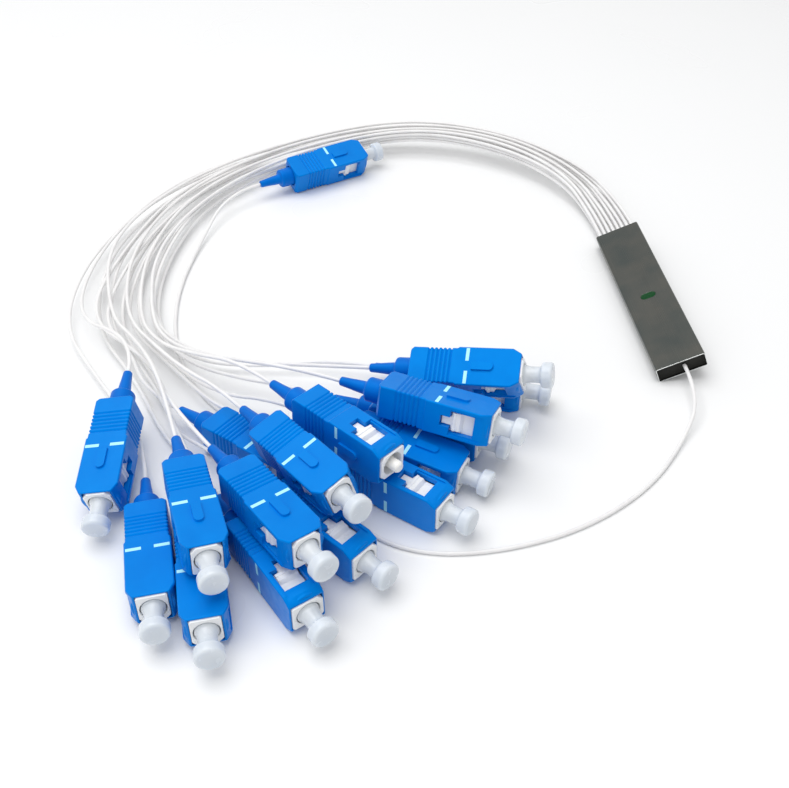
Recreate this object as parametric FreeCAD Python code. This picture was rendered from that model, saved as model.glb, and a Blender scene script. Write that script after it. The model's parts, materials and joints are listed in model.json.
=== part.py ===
"""PLC fibre splitter, 1 x 16: a steel-tube splitter module with SC plugs on 0.9 mm tubes.

One input fibre enters the module's plain end and sixteen output fibres leave the
other, each in a loose white tube that ends in a push-pull SC plug.  Millimetres, +Z up.
The origin is on the table under the middle of the module; +X runs along the module
towards its output end.
"""
import FreeCAD
import Part
import math
import os
from collections import namedtuple

V = FreeCAD.Vector
X_AXIS = V(1, 0, 0)
Y_AXIS = V(0, 1, 0)
Z_AXIS = V(0, 0, 1)

# ---------------------------------------------------------------- splitter module
MODULE_LENGTH = 60.0
MODULE_WIDTH = 12.0
MODULE_HEIGHT = 4.0
MODULE_WALL = 0.2
MODULE_EDGE_RADIUS = 0.5
MODULE_ROLL = -23.0          # leans on its +Y edge, held up by the fibre bundle
PLUG_RECESS = 0.6            # end plugs sit this far inside the tube's mouths
PLUG_LENGTH = 4.0
GLUE_SLOT_LENGTH = 3.9       # across the module
GLUE_SLOT_WIDTH = 2.3
GLUE_SLOT_X = -2.5

# Chip and fibre arrays, glued end to end on the tube's floor.
CHIP_LENGTH = 16.0
CHIP_WIDTH = 3.6
CHIP_HEIGHT = 2.5
INPUT_ARRAY_LENGTH = 5.0
INPUT_ARRAY_WIDTH = 2.5
OUTPUT_ARRAY_LENGTH = 8.0
OUTPUT_ARRAY_WIDTH = 5.2
CHIP_X = -2.0

# ---------------------------------------------------------------- fibre tubes
CORD_DIAMETER = 0.9
CORDS_PER_ROW = 8            # at the output plug, in two rows
CORD_PITCH = 1.3             # between neighbours in a row
ROW_SPACING = 1.6
INPUT_OFFSET_Y = -0.8
FIRST_RUN = 12.0
BEND_SHARE = 0.45            # of the shorter run, taken by each bend
APPROACH = 11.0              # straight run into a boot

# ---------------------------------------------------------------- SC grip
GRIP_LENGTH = 25.0
GRIP_WIDTH = 9.0
GRIP_HEIGHT = 7.4
WAIST_WIDTH = 8.4            # of the grooved rear part
WAIST_END = 10.6
WAIST_STEP = 0.5             # length of the bevel from the waist to the full width
SIDE_WALL = 1.5
FACE_WALL = 0.9              # round the grooves
NOSE_FACE_WALL = 0.35        # in front of them, where the plug frame is taller
NOSE_START = 11.2
REAR_WALL = 1.5
REAR_CHAMFER = 0.7
NOSE_CHAMFER_LENGTH = 1.9
NOSE_CHAMFER_DEPTH = 1.1
LOBE_DROP = 0.1              # of the nose's two round lobes, below the tracks' floor
LOBE_SETBACK = 0.3
LOBE_LENGTH = 2.4
LOBE_CHAMFER = 0.3
GROOVE_COUNT = 6
GROOVE_PITCH = 1.0
GROOVE_WIDTH = 0.45
GROOVE_DEPTH = 0.3
GROOVE_START = 3.9
KEY_LENGTH = 4.9
KEY_WIDTH = 1.9
KEY_HEIGHT = 0.5
KEY_START = 14.2
SLOT_START = 14.4            # narrow leg of the T-shaped latch window
SLOT_WIDTH = 2.4
WINDOW_START = 16.5
WINDOW_LENGTH = 5.2
WINDOW_WIDTH = 5.0
CHANNEL_WIDTH = 5.8          # shallow track that leads from the window to the nose
CHANNEL_DEPTH = 0.3

# ---------------------------------------------------------------- plug frame and ferrule
GRIP_TRAVEL = 2.0            # the grip's push-pull stroke, towards the boot
FRAME_CLEARANCE = 0.1
FRAME_REAR_GAP = 0.6
FRAME_STEP_GAP = 0.3
FRAME_PROUD = 0.4
FRAME_KEY_EDGE = 1.0         # the two corners on the key's side
FRAME_EDGE = 0.3
FRAME_BORE = 5.0
FRAME_BORE_DEPTH = 8.0
LATCH_HEIGHT = 1.0
LATCH_CLEARANCE = 0.2
LATCH_FRONT_GAP = 0.5        # left in the window with the grip pulled back
FERRULE_DIAMETER = 2.5
FERRULE_PROUD = 2.4
FERRULE_SEAT = 5.0
FLANGE_DIAMETER = 3.6
FERRULE_TIP_CHAMFER = 0.4

# ---------------------------------------------------------------- boot
COLLAR_DIAMETER = 5.4
COLLAR_LENGTH = 4.0
COLLAR_CLEARANCE = 0.3
BOOT_LENGTH = 6.3
BOOT_ROOT_DIAMETER = 3.2
BOOT_TIP_DIAMETER = 2.0

# ---------------------------------------------------------------- dust cap
CAP_STEM_DIAMETER = 4.6
CAP_INSERTION = 3.8
CAP_NECK_DIAMETER = 3.6
CAP_NECK = 3.8
CAP_KNOB_DIAMETER = 5.7
CAP_KNOB_LENGTH = 2.5
CAP_KNOB_CHAMFER = 0.5
CAP_CLEARANCE = 0.05
CAP_END_GAP = 0.3

# Where each plug lies: centre of its grip, heading and nose-up angles, and its roll,
# where 0 has the key up, 180 down and -90 or 90 sideways.
Place = namedtuple("Place", "name x y z heading nose_up roll capped")
PLACES = [
    Place("input", 76.0, 80.5, 5.1, -63.5, 0.0, 20.0, True),
    Place("01", -30.5, 51.0, 3.8, -109.0, 0.0, 0.0, True),
    Place("02", -45.5, 62.5, 4.6, -118.0, 0.0, -90.0, True),
    Place("03", -54.4, 67.4, 4.9, -121.0, -4.0, 1.0, True),
    Place("04", -63.5, 71.5, 4.6, -129.0, 0.0, -90.0, True),
    Place("05", -74.0, 87.2, 4.6, -137.0, 0.0, -90.0, True),
    Place("06", -83.5, 96.0, 4.6, -150.0, 0.0, -90.0, True),
    Place("07", -85.0, 109.5, 4.5, -172.0, 2.5, 180.0, True),
    Place("08", -79.0, 119.6, 4.5, -171.5, 2.5, 180.0, True),
    Place("09", -38.0, 52.9, 12.9, -110.0, 9.0, 31.0, True),
    Place("10", -50.9, 60.9, 13.9, -117.5, -1.0, -14.0, True),
    Place("11", -50.3, 99.8, 4.4, -130.0, 0.0, -2.0, True),
    Place("12", -57.0, 80.5, 14.0, -137.5, -1.0, 88.0, False),
    Place("13", -76.8, 96.0, 13.4, -147.5, 2.0, -1.5, True),
    Place("14", -65.0, 89.5, 14.3, -146.0, 4.0, 15.0, True),
    Place("15", -52.0, 129.9, 7.5, 176.0, -9.0, 8.0, True),
    Place("16", -75.3, 110.3, 12.6, -166.0, 2.0, -3.0, True),
]

# The bundle's shape: at each station its inner and outer edge and its lowest height.
Station = namedtuple("Station", "inner outer low")
STATIONS = [
    Station((61.0, 10.0), (65.0, 2.0), 4.6),
    Station((81.5, 28.0), (88.0, 22.0), 5.6),
    Station((91.5, 54.5), (99.5, 53.5), 6.0),
    Station((84.5, 87.0), (95.5, 90.0), 2.6),
    Station((63.5, 114.5), (75.0, 126.0), 2.0),
    Station((31.0, 126.0), (41.0, 147.0), 1.9),
    Station((1.0, 127.0), (3.0, 151.0), 1.9),
]
LAYER_HEIGHT = 1.05          # the tubes run in four layers that never share a height

# Each output: its layer, how far across the bundle it runs at each station (0 is the
# inner edge and 1 the outer), and the points by which it leaves the bundle for its boot.
Route = namedtuple("Route", "layer lanes tail")
ROUTES = {
    "01": Route(0, (0.05, 0.10, 0.04, 0.12, 0.05, 0.02, 0.00),
                [(-15.0, 116.5, 2.0), (-19.0, 99.0, 2.2)]),
    "02": Route(1, (0.15, 0.05, 0.15, 0.05, 0.20, 0.12, 0.06),
                [(-17.0, 117.5, 3.2), (-25.0, 104.5, 4.0)]),
    "03": Route(0, (0.35, 0.40, 0.30, 0.35, 0.25, 0.30, 0.20),
                [(-18.5, 119.5, 2.2), (-31.5, 107.5, 4.4)]),
    "04": Route(1, (0.40, 0.30, 0.42, 0.38, 0.45, 0.30, 0.32),
                [(-18.0, 121.0, 3.2), (-35.5, 109.0, 4.2)]),
    "05": Route(0, (0.60, 0.65, 0.58, 0.60, 0.50, 0.42, 0.40),
                [(-20.0, 124.5, 1.9), (-42.5, 117.8, 3.6)]),
    "06": Route(1, (0.65, 0.72, 0.62, 0.75, 0.60, 0.62, 0.50),
                [(-22.0, 125.5, 3.4), (-43.0, 117.5, 6.4)]),
    "07": Route(0, (0.90, 0.88, 0.80, 0.85, 0.82, 0.78, 0.64),
                [(-22.0, 128.5, 1.9), (-39.5, 121.5, 1.4)]),
    "08": Route(1, (0.95, 0.92, 0.97, 0.90, 0.88, 0.94, 0.98),
                [(-21.0, 137.5, 2.0), (-35.0, 129.0, 2.2)]),
    "09": Route(2, (0.08, 0.02, 0.10, 0.02, 0.10, 0.05, 0.04),
                [(-14.5, 117.0, 4.8), (-22.5, 101.0, 6.4)]),
    "10": Route(3, (0.12, 0.18, 0.08, 0.15, 0.02, 0.15, 0.02),
                [(-15.0, 121.0, 7.2), (-27.5, 106.5, 12.0)]),
    "11": Route(2, (0.38, 0.30, 0.45, 0.28, 0.35, 0.40, 0.55),
                [(-12.0, 131.0, 4.4)]),
    "12": Route(3, (0.35, 0.45, 0.28, 0.40, 0.30, 0.25, 0.15),
                [(-14.5, 123.5, 7.4), (-26.0, 113.0, 12.4)]),
    "13": Route(2, (0.68, 0.60, 0.70, 0.62, 0.72, 0.55, 0.72),
                [(-18.5, 125.5, 6.2), (-36.0, 119.7, 9.3)]),
    "14": Route(3, (0.62, 0.70, 0.60, 0.72, 0.50, 0.45, 0.30),
                [(-18.5, 122.5, 8.2), (-31.0, 114.5, 11.2)]),
    "15": Route(2, (0.92, 0.95, 0.88, 0.93, 0.94, 0.85, 0.86),
                []),
    "16": Route(3, (0.90, 0.85, 0.94, 0.88, 0.75, 0.80, 0.45),
                [(-14.0, 128.5, 8.2), (-28.0, 122.5, 10.4)]),
}

# The input tube: round the front of the heap, under the plugs and back to its own plug.
INPUT_ROUTE = [
    (-52.0, 6.0, 0.7), (-65.0, 17.0, 0.5), (-75.0, 33.0, 0.5), (-79.5, 50.0, 0.5),
    (-79.5, 65.0, 0.5), (-74.5, 76.0, 0.5), (-65.0, 82.0, 0.5), (-56.3, 86.1, 0.5),
    (-50.0, 90.5, 0.5), (-40.0, 102.0, 0.5), (-26.0, 114.5, 0.5), (-6.0, 121.5, 0.5),
    (17.0, 122.5, 0.6), (40.0, 118.0, 0.8),
]

# Values that follow from the ones above.
CAVITY_WIDTH = GRIP_WIDTH - 2 * SIDE_WALL
CAVITY_HEIGHT = GRIP_HEIGHT - 2 * FACE_WALL
NOSE_CAVITY_HEIGHT = GRIP_HEIGHT - 2 * NOSE_FACE_WALL
FRAME_WIDTH = CAVITY_WIDTH - 2 * FRAME_CLEARANCE
FRAME_HEIGHT = CAVITY_HEIGHT - 2 * FRAME_CLEARANCE
FRAME_NOSE_HEIGHT = NOSE_CAVITY_HEIGHT - 2 * FRAME_CLEARANCE
FRAME_START = REAR_WALL + FRAME_REAR_GAP
FRAME_STEP = NOSE_START + FRAME_STEP_GAP
FRAME_END = GRIP_LENGTH + FRAME_PROUD
BORE_BOTTOM = FRAME_END - FRAME_BORE_DEPTH
FERRULE_TIP = GRIP_LENGTH + FERRULE_PROUD
BOOT_TIP = -COLLAR_LENGTH - BOOT_LENGTH
TUBE_INSIDE_WIDTH = MODULE_WIDTH - 2 * MODULE_WALL
TUBE_INSIDE_HEIGHT = MODULE_HEIGHT - 2 * MODULE_WALL
TUBE_FLOOR = -TUBE_INSIDE_HEIGHT / 2
PLUG_FACE = MODULE_LENGTH / 2 - PLUG_RECESS
LATCH_LENGTH = WINDOW_LENGTH - GRIP_TRAVEL - LATCH_CLEARANCE - LATCH_FRONT_GAP


def block(x0, x1, width, height):
    """Return a box along X, centred on the X axis."""
    return Part.makeBox(x1 - x0, width, height, V(x0, -width / 2, -height / 2))


def turned(profile):
    """Return the solid of revolution about X of a closed list of (x, radius) points."""
    points = [V(x, radius, 0) for x, radius in profile]
    face = Part.Face(Part.makePolygon(points + points[:1]))
    return face.revolve(V(0, 0, 0), X_AXIS, 360)


def module_placement():
    """Return the placement of the module: leaning on one long edge on the table."""
    lean = math.radians(abs(MODULE_ROLL))
    half_width = MODULE_WIDTH / 2 - MODULE_EDGE_RADIUS
    half_height = MODULE_HEIGHT / 2 - MODULE_EDGE_RADIUS
    centre = half_width * math.sin(lean) + half_height * math.cos(lean) + MODULE_EDGE_RADIUS
    return FreeCAD.Placement(V(0, 0, centre), FreeCAD.Rotation(X_AXIS, MODULE_ROLL))


def plug_placement(place):
    """Return the placement that lays a plug, modelled from its grip's rear, at its place."""
    rotation = FreeCAD.Rotation(Z_AXIS, place.heading)
    rotation = rotation.multiply(FreeCAD.Rotation(Y_AXIS, -place.nose_up))
    rotation = rotation.multiply(FreeCAD.Rotation(X_AXIS, place.roll))
    centre = FreeCAD.Placement(V(place.x, place.y, place.z), rotation)
    return centre.multiply(FreeCAD.Placement(V(-GRIP_LENGTH / 2, 0, 0), FreeCAD.Rotation()))


def placed(shape, placement):
    """Return a copy of a shape at a placement."""
    return shape.transformed(placement.toMatrix())


# ---------------------------------------------------------------- module pieces
def rounded_bar(length, width, height, radius):
    """Return a bar along X with rounded long edges, centred on the origin."""
    bar = block(-length / 2, length / 2, width, height)
    if radius <= 0:
        return bar
    edges = [edge for edge in bar.Edges if abs(edge.tangentAt(0).x) > 0.9]
    return bar.makeFillet(radius, edges)


def glue_slot(low, high):
    """Return the oblong glue hole's shape between two heights."""
    reach = GLUE_SLOT_LENGTH / 2 - GLUE_SLOT_WIDTH / 2
    shape = Part.makeBox(GLUE_SLOT_WIDTH, 2 * reach, high - low,
                         V(GLUE_SLOT_X - GLUE_SLOT_WIDTH / 2, -reach, low))
    for side in (-1, 1):
        end = Part.makeCylinder(GLUE_SLOT_WIDTH / 2, high - low, V(GLUE_SLOT_X, side * reach, low))
        shape = shape.fuse(end)
    return shape.removeSplitter()


def module_housing():
    """Return the rectangular steel tube with its glue hole."""
    inner_radius = max(MODULE_EDGE_RADIUS - MODULE_WALL, 0.05)
    tube = rounded_bar(MODULE_LENGTH, MODULE_WIDTH, MODULE_HEIGHT, MODULE_EDGE_RADIUS)
    hollow = rounded_bar(MODULE_LENGTH + 2, TUBE_INSIDE_WIDTH, TUBE_INSIDE_HEIGHT, inner_radius)
    return tube.cut(hollow).cut(glue_slot(0, MODULE_HEIGHT))


def end_plug(side):
    """Return the black plug that closes one mouth of the tube."""
    inner_radius = max(MODULE_EDGE_RADIUS - MODULE_WALL, 0.05)
    plug = rounded_bar(PLUG_LENGTH, TUBE_INSIDE_WIDTH, TUBE_INSIDE_HEIGHT, inner_radius)
    plug.translate(V(side * (PLUG_FACE - PLUG_LENGTH / 2), 0, 0))
    return plug


def floor_block(x0, length, width):
    """Return a chip or array block that stands on the tube's floor."""
    return Part.makeBox(length, width, CHIP_HEIGHT, V(x0, -width / 2, TUBE_FLOOR))


def module_nodes():
    """Return the module's pieces by node name, in place."""
    chip_start = CHIP_X - CHIP_LENGTH / 2
    chip_top = TUBE_FLOOR + CHIP_HEIGHT
    pieces = {
        "module_housing": module_housing(),
        "input_end_plug": end_plug(-1),
        "output_end_plug": end_plug(1),
        "plc_chip": floor_block(chip_start, CHIP_LENGTH, CHIP_WIDTH),
        "input_fibre_array": floor_block(chip_start - INPUT_ARRAY_LENGTH, INPUT_ARRAY_LENGTH,
                                         INPUT_ARRAY_WIDTH),
        "output_fibre_array": floor_block(chip_start + CHIP_LENGTH, OUTPUT_ARRAY_LENGTH,
                                          OUTPUT_ARRAY_WIDTH),
        "glue_fill": glue_slot(chip_top, MODULE_HEIGHT / 2),
    }
    placement = module_placement()
    return {name: placed(shape, placement) for name, shape in pieces.items()}


# ---------------------------------------------------------------- plug pieces
def grip_outline():
    """Return the grip's body, seen from above: a narrower rear and a tapered nose."""
    half = GRIP_WIDTH / 2
    waist = WAIST_WIDTH / 2
    side = [
        (0, waist - REAR_CHAMFER), (REAR_CHAMFER, waist),
        (WAIST_END, waist), (WAIST_END + WAIST_STEP, half),
        (GRIP_LENGTH - NOSE_CHAMFER_LENGTH, half), (GRIP_LENGTH, half - NOSE_CHAMFER_DEPTH),
    ]
    points = [V(x, y, 0) for x, y in side]
    points += [V(x, -y, 0) for x, y in reversed(side)]
    body = Part.Face(Part.makePolygon(points + points[:1])).extrude(V(0, 0, GRIP_HEIGHT))
    body.translate(V(0, 0, -GRIP_HEIGHT / 2))
    return body


def groove(index):
    """Return the cutter for one finger groove, a square ring round the grip."""
    start = GROOVE_START + index * GROOVE_PITCH
    end = start + GROOVE_WIDTH
    outer = block(start, end, GRIP_WIDTH + 1, GRIP_HEIGHT + 1)
    inner = block(start, end, WAIST_WIDTH - 2 * GROOVE_DEPTH, GRIP_HEIGHT - 2 * GROOVE_DEPTH)
    return outer.cut(inner)


def nose_lobe():
    """Return the lobes' shape: a short disc round the axis, as high as the tracks."""
    end = GRIP_LENGTH - LOBE_SETBACK
    radius = GRIP_WIDTH / 2 - CHANNEL_DEPTH - LOBE_DROP
    disc = turned([
        (end - LOBE_LENGTH, 0), (end - LOBE_LENGTH, radius), (end - LOBE_CHAMFER, radius),
        (end, radius - LOBE_CHAMFER), (end, 0),
    ])
    return disc.common(block(end - LOBE_LENGTH, end, GRIP_WIDTH, CHANNEL_WIDTH))


def key_rib():
    """Return the polarity key: a low rib, square behind and round in front."""
    radius = KEY_WIDTH / 2
    root = GRIP_HEIGHT / 2 - FACE_WALL / 2
    height = KEY_HEIGHT + FACE_WALL / 2
    bar = Part.makeBox(KEY_LENGTH - radius, KEY_WIDTH, height, V(KEY_START, -radius, root))
    nose = Part.makeCylinder(radius, height, V(KEY_START + KEY_LENGTH - radius, 0, root))
    return bar.fuse(nose)


def window_cutter():
    """Return the T-shaped latch windows and the tracks in front of them, both sides."""
    through = GRIP_WIDTH + 1
    slot = block(SLOT_START, WINDOW_START + 0.1, through, SLOT_WIDTH)
    window = block(WINDOW_START, WINDOW_START + WINDOW_LENGTH, through, WINDOW_WIDTH)
    track = block(WINDOW_START, GRIP_LENGTH + 1, through, CHANNEL_WIDTH)
    core = block(WINDOW_START - 1, GRIP_LENGTH + 2, GRIP_WIDTH - 2 * CHANNEL_DEPTH, GRIP_HEIGHT)
    return slot.fuse(window).fuse(track.cut(core))


def grip():
    """Return the blue outer housing that slides on the plug frame."""
    shape = grip_outline()
    for index in range(GROOVE_COUNT):
        shape = shape.cut(groove(index))
    shape = shape.cut(window_cutter())
    shape = shape.fuse(key_rib()).fuse(nose_lobe())
    shape = shape.cut(block(REAR_WALL, NOSE_START + 1, CAVITY_WIDTH, CAVITY_HEIGHT))
    shape = shape.cut(block(NOSE_START, GRIP_LENGTH + 1, CAVITY_WIDTH, NOSE_CAVITY_HEIGHT))
    rear_hole = COLLAR_DIAMETER / 2 + COLLAR_CLEARANCE
    shape = shape.cut(Part.makeCylinder(rear_hole, REAR_WALL + 2, V(-1, 0, 0), X_AXIS))
    return shape.removeSplitter()


def latch_pad(side):
    """Return one latch pad of the plug frame, which shows in the grip's window."""
    base = FRAME_WIDTH / 2
    top = base + LATCH_HEIGHT
    front = WINDOW_START + LATCH_CLEARANCE + LATCH_LENGTH
    start = SLOT_START + LATCH_CLEARANCE
    narrow = SLOT_WIDTH - 2 * LATCH_CLEARANCE
    wide = WINDOW_WIDTH - 4 * LATCH_CLEARANCE
    leg = Part.makeBox(front - start - LATCH_HEIGHT, LATCH_HEIGHT + 0.5, narrow,
                       V(start, base - 0.5, -narrow / 2))
    root = WINDOW_START + LATCH_CLEARANCE
    profile = [(root, base - 0.5), (root, top), (front - LATCH_HEIGHT, top), (front, base),
               (front, base - 0.5)]
    points = [V(x, y, -wide / 2) for x, y in profile]
    head = Part.Face(Part.makePolygon(points + points[:1])).extrude(V(0, 0, wide))
    pad = leg.fuse(head)
    if side < 0:
        pad = pad.mirror(V(0, 0, 0), Y_AXIS)
    return pad


def frame_block(start, end, height, key_edge):
    """Return one stretch of the plug frame, whose corners on the key's side are cut wider."""
    side = FRAME_WIDTH / 2
    top = height / 2
    corners = [
        (side, top - key_edge), (side - key_edge, top), (key_edge - side, top),
        (-side, top - key_edge), (-side, FRAME_EDGE - top), (FRAME_EDGE - side, -top),
        (side - FRAME_EDGE, -top), (side, FRAME_EDGE - top),
    ]
    points = [V(start, y, z) for y, z in corners]
    return Part.Face(Part.makePolygon(points + points[:1])).extrude(V(end - start, 0, 0))


def plug_frame():
    """Return the white inner frame: a stepped, keyed bar with the ferrule's bore."""
    rear = frame_block(FRAME_START, FRAME_STEP, FRAME_HEIGHT, FRAME_EDGE)
    shape = rear.fuse(frame_block(FRAME_STEP, FRAME_END, FRAME_NOSE_HEIGHT, FRAME_KEY_EDGE))
    for side in (-1, 1):
        shape = shape.fuse(latch_pad(side))
    bore = Part.makeCylinder(FRAME_BORE / 2, FRAME_BORE_DEPTH + 1, V(BORE_BOTTOM, 0, 0), X_AXIS)
    seat = Part.makeCylinder(FLANGE_DIAMETER / 2, FERRULE_SEAT + 1,
                             V(BORE_BOTTOM - FERRULE_SEAT, 0, 0), X_AXIS)
    return shape.cut(bore).cut(seat).removeSplitter()


def ferrule():
    """Return the zirconia ferrule on its flange, seated in the frame, with a chamfered tip."""
    radius = FERRULE_DIAMETER / 2
    flange = FLANGE_DIAMETER / 2
    return turned([
        (BORE_BOTTOM - FERRULE_SEAT, 0), (BORE_BOTTOM - FERRULE_SEAT, flange),
        (BORE_BOTTOM, flange), (BORE_BOTTOM, radius),
        (FERRULE_TIP - FERRULE_TIP_CHAMFER, radius),
        (FERRULE_TIP, radius - FERRULE_TIP_CHAMFER), (FERRULE_TIP, 0),
    ])


def boot():
    """Return the boot: a round collar against the frame and a tapered tail."""
    return turned([
        (BOOT_TIP, 0), (BOOT_TIP, BOOT_TIP_DIAMETER / 2),
        (-COLLAR_LENGTH, BOOT_ROOT_DIAMETER / 2), (-COLLAR_LENGTH, COLLAR_DIAMETER / 2),
        (FRAME_START, COLLAR_DIAMETER / 2), (FRAME_START, 0),
    ])


def dust_cap():
    """Return the dust cap: a hollow stem over the ferrule and a solid knob."""
    bore = FERRULE_DIAMETER / 2 + CAP_CLEARANCE
    stem = CAP_STEM_DIAMETER / 2
    neck = CAP_NECK_DIAMETER / 2
    knob = CAP_KNOB_DIAMETER / 2
    start = FRAME_END - CAP_INSERTION
    shoulder = FRAME_END + CAP_NECK
    end = shoulder + CAP_KNOB_LENGTH
    return turned([
        (start, bore), (start, stem), (FRAME_END, stem), (FRAME_END, neck), (shoulder, neck),
        (shoulder, knob - CAP_KNOB_CHAMFER),
        (shoulder + CAP_KNOB_CHAMFER, knob), (end - CAP_KNOB_CHAMFER, knob),
        (end, knob - CAP_KNOB_CHAMFER), (end, 0), (FERRULE_TIP + CAP_END_GAP, 0),
        (FERRULE_TIP + CAP_END_GAP, bore),
    ])


def plug_nodes():
    """Return the plugs' pieces by node name, in place."""
    grip_shape = grip()
    frame_shape = plug_frame()
    boot_shape = boot()
    ferrule_shape = ferrule()
    cap_shape = dust_cap()
    nodes = {}
    frames, boots, ferrules = [], [], []
    for place in PLACES:
        placement = plug_placement(place)
        nodes["grip_" + place.name] = placed(grip_shape, placement)
        frames.append(placed(frame_shape, placement))
        boots.append(placed(boot_shape, placement))
        ferrules.append(placed(ferrule_shape, placement))
        if place.capped:
            nodes["dust_cap_" + place.name] = placed(cap_shape, placement)
    nodes["plug_frames"] = Part.makeCompound(frames)
    nodes["boots"] = Part.makeCompound(boots)
    nodes["ferrules"] = Part.makeCompound(ferrules)
    return nodes


# ---------------------------------------------------------------- fibre tubes
def station_point(station, share, layer):
    """Return the point a share of the way across the bundle at a station."""
    x = station.inner[0] + share * (station.outer[0] - station.inner[0])
    y = station.inner[1] + share * (station.outer[1] - station.inner[1])
    return V(x, y, station.low + layer * LAYER_HEIGHT)


def boot_points(place):
    """Return the last two points of a tube: behind its boot and at the boot's tip."""
    placement = plug_placement(place)
    return [placement.multVec(V(BOOT_TIP - APPROACH, 0, 0)), placement.multVec(V(BOOT_TIP, 0, 0))]


def output_route(place, index):
    """Return the points of an output tube, from the module's plug to its boot."""
    route = ROUTES[place.name]
    column = index % CORDS_PER_ROW
    row = index // CORDS_PER_ROW
    y = ((CORDS_PER_ROW - 1) / 2 - column) * CORD_PITCH
    z = (row - 0.5) * ROW_SPACING
    start = module_placement().multVec(V(PLUG_FACE, y, z))
    points = [start, start + V(FIRST_RUN, 0, 0)]
    points += [station_point(*pair, route.layer) for pair in zip(STATIONS, route.lanes)]
    points += [V(*point) for point in route.tail]
    return points + boot_points(place)


def input_route(place):
    """Return the points of the input tube, from the module round to its own plug."""
    start = module_placement().multVec(V(-PLUG_FACE, INPUT_OFFSET_Y, 0))
    points = [start, start - V(FIRST_RUN, 0, 0)]
    return points + [V(*point) for point in INPUT_ROUTE] + boot_points(place)


def tube_path(points):
    """Return straight runs joined by tangent arcs, and the list of bend radii."""
    edges = []
    radii = []
    last = points[0]
    for before, corner, after in zip(points, points[1:], points[2:]):
        into = (corner - before).normalize()
        out = (after - corner).normalize()
        turn = into.getAngle(out)
        reach = BEND_SHARE * min((corner - before).Length, (after - corner).Length)
        radii.append(reach / math.tan(turn / 2))
        start = corner - into * reach
        end = corner + out * reach
        inward = (out - into).normalize()
        middle = corner + inward * (radii[-1] / math.cos(turn / 2) - radii[-1])
        edges.append(Part.LineSegment(last, start).toShape())
        edges.append(Part.Arc(start, middle, end).toShape())
        last = end
    edges.append(Part.LineSegment(last, points[-1]).toShape())
    return Part.Wire(edges), radii


def tube(points):
    """Return a tube's solid along its points, and its bend radii."""
    path, radii = tube_path(points)
    circle = Part.makeCircle(CORD_DIAMETER / 2, points[0], points[1] - points[0])
    solid = path.makePipeShell([Part.Wire(circle)], True, False)
    ideal = math.pi * (CORD_DIAMETER / 2) ** 2 * path.Length
    if abs(solid.Volume - ideal) > 0.01 * ideal:
        print("tube volume", round(solid.Volume, 1), "is not", round(ideal, 1))
    return solid, radii, path.Length


def cord_nodes():
    """Return the seventeen fibre tubes by node name, printing their bends."""
    nodes = {}
    outputs = [place for place in PLACES if place.name != "input"]
    routes = {place.name: output_route(place, index) for index, place in enumerate(outputs)}
    routes["input"] = input_route(PLACES[0])
    for name, points in sorted(routes.items()):
        solid, radii, length = tube(points)
        nodes["cord_" + name] = solid
        print("cord", name, "length", round(length), "radii", [round(r, 1) for r in radii])
    return nodes


def main():
    """Build every piece and write one STEP file per node."""
    os.makedirs("parts", exist_ok=True)
    nodes = {}
    nodes.update(module_nodes())
    nodes.update(plug_nodes())
    nodes.update(cord_nodes())
    for name, shape in nodes.items():
        shape.exportStep("parts/" + name + ".step")
    print(len(nodes), "nodes")


main()
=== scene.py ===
"""Looks of the fibre splitter: finishes, plugs, tubes, module, studio and camera.

Every class builds one sub-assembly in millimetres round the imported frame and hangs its
pieces on the frame's bodies.  Lengths are in millimetres until a piece is placed.
"""

import json
import logging
import math
from dataclasses import dataclass, field
from enum import Enum
from typing import ClassVar, NamedTuple, Sequence

import bmesh
import bpy
from mathutils import Matrix, Vector


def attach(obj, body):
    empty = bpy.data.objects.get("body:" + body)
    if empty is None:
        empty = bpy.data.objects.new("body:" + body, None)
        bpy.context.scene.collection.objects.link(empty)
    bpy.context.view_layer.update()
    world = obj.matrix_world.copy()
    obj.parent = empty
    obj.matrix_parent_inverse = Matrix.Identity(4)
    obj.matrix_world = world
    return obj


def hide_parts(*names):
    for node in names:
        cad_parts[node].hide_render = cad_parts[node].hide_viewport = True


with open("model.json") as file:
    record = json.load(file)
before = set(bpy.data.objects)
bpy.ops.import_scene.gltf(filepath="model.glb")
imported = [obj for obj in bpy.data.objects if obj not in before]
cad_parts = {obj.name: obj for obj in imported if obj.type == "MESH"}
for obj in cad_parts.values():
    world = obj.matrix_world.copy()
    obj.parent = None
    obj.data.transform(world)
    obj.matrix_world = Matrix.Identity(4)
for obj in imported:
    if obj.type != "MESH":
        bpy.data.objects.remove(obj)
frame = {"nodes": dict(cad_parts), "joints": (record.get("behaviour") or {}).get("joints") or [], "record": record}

MM = 0.001
MODULE_BODY = "module"
NOISE_RANGE = (0.3, 0.7)  # where most of a noise pattern's values lie
PLASTIC_IOR = 1.49
SCATTER_DEPTH = 1.5  # how far light goes into a milky plastic
MERGE_DISTANCE = 1e-4
FLAT_TURN = 0.5  # degrees; faces that turn less are one face
SHARP_TURN = 60.0  # degrees; edges that turn more are rounded
SMOOTH_TURN = 35.0  # degrees; edges that turn more stay crisp in the shading
BEVEL_FACES = 2
PAST = 1.0  # how far a cutter reaches past an end
OVERSHOOT = 0.1  # how far a cutter goes past a face that it only just clears
TOP_BAND = 0.1  # points this close below the top count as on it
LOBE_GAP = 0.02  # between a nose lobe's flank and the track's
PRINT_HEIGHT = 0.02  # of a printed bar above the face
PRINT_ROOT = 0.05  # of a printed bar below the face
Mesh = bpy.types.Mesh
BMesh = bmesh.types.BMesh
Object = bpy.types.Object
Material = bpy.types.Material
Socket = bpy.types.NodeSocket
Colour = tuple[float, float, float]
Point = tuple[float, float, float]
Pair = tuple[float, float]
Profile = list[Pair]
ACROSS = Vector((0, 1, 0))
UP = Vector((0, 0, 1))

log = logging.getLogger("splitter")


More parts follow.
